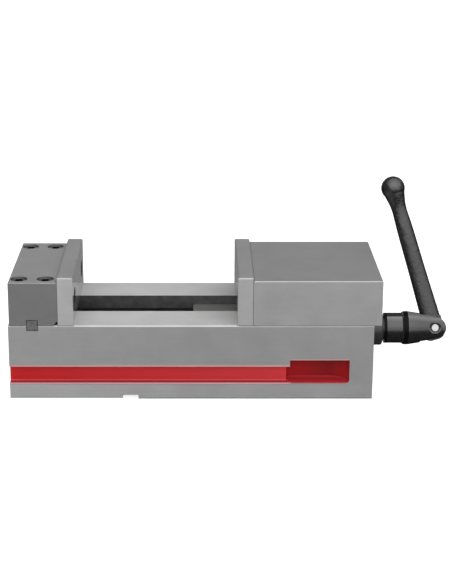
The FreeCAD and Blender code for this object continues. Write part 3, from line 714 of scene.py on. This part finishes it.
for name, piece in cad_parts.items():
    piece.data.materials.clear()
    piece.data.materials.append(FINISHES[WEARS[name]])
print("finishes", len(FINISHES), "on", len(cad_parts), "nodes")

# %% [markdown]
# ## The lead screw's thread
#
# The solid screw is a plain bar at the thread's outer diameter. The real one has a trapezoidal
# thread, 24 mm by 5 mm, left hand, because the screw stays in place and has to push the nut
# away from the handle when turned clockwise. A helix modifier would leave a seam, so the
# thread is a grid of points: each row is one corner of the tooth, and it climbs one pitch per
# turn, so the last column meets the first one pitch further on. Two planes then cut it to
# length, through turns that are there only to be cut. Crest and flank are shares of the pitch.

# %% A left-hand thread along X
PITCH = 5 * MM
THREAD_RADIUS = 12 * MM
ROOT_RADIUS = 9.25 * MM
CREST = 0.366
FLANK = 0.134
COLUMNS = 56
SPARE_TURNS = 3


def thread_grid(mesh, start, end):
    """Left-hand trapezoidal thread from start to end along X, cut square at both ends."""
    corners = [(0, THREAD_RADIUS), (CREST, THREAD_RADIUS),
               (CREST + FLANK, ROOT_RADIUS), (1 - FLANK, ROOT_RADIUS)]
    turns = math.ceil((end - start) / PITCH) + SPARE_TURNS
    rows = [(start + PITCH * (turn - 1 + share), radius)
            for turn in range(turns) for share, radius in corners]
    grid = []
    for column in range(COLUMNS):
        angle = 2 * math.pi * column / COLUMNS
        climb = PITCH * column / COLUMNS
        grid.append([
            mesh.verts.new((x - climb, radius * math.cos(angle), radius * math.sin(angle)))
            for x, radius in rows
        ])
    step = len(corners)
    for column, here in enumerate(grid):
        last = column == COLUMNS - 1
        shift = step if last else 0
        following = grid[(column + 1) % COLUMNS]
        for row in range(len(rows) - 1 - step):
            mesh.faces.new((here[row + shift], here[row + shift + 1], following[row + 1], following[row]))
    for place, side in ((start, -1), (end, 1)):
        cut = bmesh.ops.bisect_plane(mesh, geom=mesh.verts[:] + mesh.edges[:] + mesh.faces[:],
                                     plane_co=(place, 0, 0), plane_no=(side, 0, 0), clear_outer=True)
        rim = [e for e in cut["geom_cut"] if isinstance(e, bmesh.types.BMEdge)]
        bmesh.ops.edgeloop_fill(mesh, edges=rim)


# %% [markdown]
# ## Neck, flange, journal and hexagon
#
# Past the thread the screw is a plain turned bar: a neck as thin as the thread's root, where
# the tool ran out, the flange that presses on the bearing, and the journal in its bush. Each is
# a few points turned about the axis. The hexagon that the handle's hub slips over is turned the
# same way with six sides. What stands outside the bed is black oxide, the rest is bare. The
# screw is made along the X axis through the origin, then raised and turned by the handle's lean.

# %% Turned pieces, and the screw made of them
TURNED_SIDES = 72
HEX_SIDES = 6
RELIEF = 6 * MM
FLANGE_RADIUS = 19 * MM
FLANGE_WIDTH = 6 * MM
FLANGE_EDGE = 0.6 * MM
JOURNAL_RADIUS = 12.5 * MM
HEX_FLATS = 19 * MM
HEX_LENGTH = 30 * MM
SHARP = math.radians(30)

screw_low, screw_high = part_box("lead_screw")
hub_start = screw_high.x - HEX_LENGTH
flange_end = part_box("bearing_shaft_washer")[0].x
flange_start = flange_end - FLANGE_WIDTH


def lathe(mesh, profile, sides=TURNED_SIDES):
    """Turn (x, radius) points about the X axis into a closed piece."""
    rings = []
    for x, radius in profile:
        rings.append([
            mesh.verts.new((x, radius * math.cos(2 * math.pi * i / sides),
                            radius * math.sin(2 * math.pi * i / sides)))
            for i in range(sides)
        ])
    for first, second in zip(rings, rings[1:]):
        for i in range(sides):
            j = (i + 1) % sides
            mesh.faces.new((first[i], first[j], second[j], second[i]))
    mesh.faces.new(rings[0][::-1])
    mesh.faces.new(rings[-1])


def screw_mesh():
    mesh = bmesh.new()
    thread_grid(mesh, screw_low.x, flange_start - RELIEF)
    lathe(mesh, [(flange_start - RELIEF, ROOT_RADIUS), (flange_start, ROOT_RADIUS)])
    lathe(mesh, [(flange_start, FLANGE_RADIUS - FLANGE_EDGE), (flange_start + FLANGE_EDGE, FLANGE_RADIUS),
                 (flange_end - FLANGE_EDGE, FLANGE_RADIUS), (flange_end, FLANGE_RADIUS - FLANGE_EDGE)])
    lathe(mesh, [(flange_end, JOURNAL_RADIUS), (bed_high.x, JOURNAL_RADIUS), (hub_start, JOURNAL_RADIUS)])
    corner = HEX_FLATS / math.sqrt(3)
    lathe(mesh, [(hub_start, corner), (screw_high.x - FLANGE_EDGE, corner),
                 (screw_high.x, corner - FLANGE_EDGE)], HEX_SIDES)
    bmesh.ops.recalc_face_normals(mesh, faces=mesh.faces[:])
    return mesh


def make_lead_screw():
    mesh = screw_mesh()
    data = bpy.data.meshes.new("lead_screw_threaded")
    mesh.to_mesh(data)
    mesh.free()
    data.transform(Matrix.Translation((0, 0, SCREW_HEIGHT)) @ Matrix.Rotation(LEAN, 4, "X"))
    data.shade_smooth()
    data.set_sharp_from_angle(angle=SHARP)
    piece = bpy.data.objects.new("lead_screw_threaded", data)
    bpy.context.scene.collection.objects.link(piece)
    data.materials.append(FINISHES["screw_steel"])
    data.materials.append(FINISHES["black_steel"])
    for face in data.polygons:
        face.material_index = int(face.center.x > bed_high.x)
    return piece


lead_screw = make_lead_screw()
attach(lead_screw, "screw")
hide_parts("lead_screw")
print("lead screw", len(lead_screw.data.polygons), "faces")

# %% [markdown]
# ## Floor
#
# A catalogue shows such a vise on white with hardly a shadow. That is done with an opal
# acrylic floor, lit from below, under a white tent: the floor glows, so that the shadow on it
# drowns. In a studio, black card around the vise keeps the floor out of the metal's
# reflections, and here a setting of the floor does.

# %% A glowing floor
FLOOR_HALF = 9.0
FLOOR_WHITE = "#BCBCBC"
FLOOR_EMISSION = 0.75


def make_floor():
    mesh = bmesh.new()
    bmesh.ops.create_grid(mesh, x_segments=1, y_segments=1, size=FLOOR_HALF)
    data = bpy.data.meshes.new("floor")
    mesh.to_mesh(data)
    mesh.free()
    piece = bpy.data.objects.new("floor", data)
    bpy.context.scene.collection.objects.link(piece)
    made, tree = material("opal floor, lit from below")
    dress(tree, {"Base Color": FLOOR_WHITE, "Roughness": 0.9, "Specular IOR Level": 0.1,
                 "Emission Color": "#FFFFFF", "Emission Strength": FLOOR_EMISSION})
    data.materials.append(made)
    piece.visible_glossy = False
    return piece


floor = make_floor()
print("floor", 2 * FLOOR_HALF, "m wide")

# %% [markdown]
# ## Light
#
# A soft box above and in front gives the tops their light. What the metal mirrors is the room:
# a white tent over the front and top, with a soft edge, a dim room behind, black below, and
# the far floor low down behind the vise, which the plates' polished faces mirror.

# %% A soft box
KEY_PLACE = (0.3, -1.5, 1.6)
KEY_AIM = (0, 0, 0.05)
KEY_WIDTH = 2.4
KEY_HEIGHT = 1.8
KEY_POWER = 12


def soft_box(name, place, aim, width, height, power):
    lamp = bpy.data.lights.new(name, "AREA")
    lamp.shape = "RECTANGLE"
    lamp.size = width
    lamp.size_y = height
    lamp.energy = power
    holder = bpy.data.objects.new(name, lamp)
    bpy.context.scene.collection.objects.link(holder)
    holder.location = place
    holder.rotation_euler = (Vector(aim) - Vector(place)).to_track_quat("-Z", "Y").to_euler()
    return holder


soft_box("key", KEY_PLACE, KEY_AIM, KEY_WIDTH, KEY_HEIGHT, KEY_POWER)
print("soft box of", KEY_POWER, "watts")

# %% The room's own light
TENT_CENTRE = Vector((0.2, -0.58, 0.79)).normalized()
TENT_EDGE = 0.5
TENT_SOFT = 0.06
TENT_GLOW = 2.0
ROOM_GLOW = 0.15
HORIZON = {"From Min": -0.12, "From Max": -0.04}
FAR_FLOOR = Vector((0.0, 0.96, -0.28)).normalized()
FAR_FLOOR_SPAN = {"From Min": 0.9, "From Max": 0.96}
FAR_FLOOR_GLOW = 0.25


def studio_world():
    world = bpy.data.worlds.new("studio")
    world.use_nodes = True
    tree = world.node_tree
    tree.nodes.clear()
    direction = node(tree, "TexCoord").outputs["Generated"]
    height = node(tree, "SeparateXYZ", {0: direction}).outputs["Z"]
    toward = node(tree, "VectorMath", {0: direction, 1: TENT_CENTRE}, operation="DOT_PRODUCT")
    tent = node(tree, "MapRange", {"Value": toward, "From Min": TENT_EDGE - TENT_SOFT,
                                   "From Max": TENT_EDGE + TENT_SOFT,
                                   "To Min": ROOM_GLOW, "To Max": TENT_GLOW})
    above = node(tree, "MapRange", {"Value": height, **HORIZON})
    around = node(tree, "Math", {0: tent, 1: above}, operation="MULTIPLY")
    behind = node(tree, "VectorMath", {0: direction, 1: FAR_FLOOR}, operation="DOT_PRODUCT")
    floor_glow = node(tree, "MapRange", {"Value": behind, **FAR_FLOOR_SPAN,
                                         "To Min": 0.0, "To Max": FAR_FLOOR_GLOW})
    glow = node(tree, "Math", {0: around, 1: floor_glow}, operation="MAXIMUM")
    back = node(tree, "Background", {"Color": "#FFFFFF", "Strength": glow})
    node(tree, "OutputWorld", {"Surface": back})
    bpy.context.scene.world = world


studio_world()
bpy.context.scene.view_settings.view_transform = "Standard"
print("tent glows", TENT_GLOW, "and the room", ROOM_GLOW)

# %% [markdown]
# ## Camera
#
# Place, tilt and focal length were worked out from the photograph's own edges: lines that run
# together on the vise meet at one point in the picture, and that gives the camera. The small
# shift stands for the crop, which has the vise a little off the lens's axis.

# %% A long lens, looking down a little
FOCAL = 96.74
SENSOR = 36.0
PITCH_DOWN = math.radians(17.597)
SHIFT = (0.0482, 0.0137)
CAMERA_PLACE = (6.8 * MM, -1576 * MM, 582.3 * MM)
CLIP_END = 50


def make_camera():
    lens = bpy.data.cameras.new("camera")
    lens.lens = FOCAL
    lens.sensor_width = SENSOR
    lens.sensor_fit = "AUTO"
    lens.shift_x, lens.shift_y = SHIFT
    lens.clip_end = CLIP_END
    holder = bpy.data.objects.new("camera", lens)
    bpy.context.scene.collection.objects.link(holder)
    holder.location = CAMERA_PLACE
    holder.rotation_euler = (math.radians(90) - PITCH_DOWN, 0, 0)
    bpy.context.scene.camera = holder
    return holder


camera = make_camera()
print("camera at", [round(v / MM) for v in camera.location], "mm")
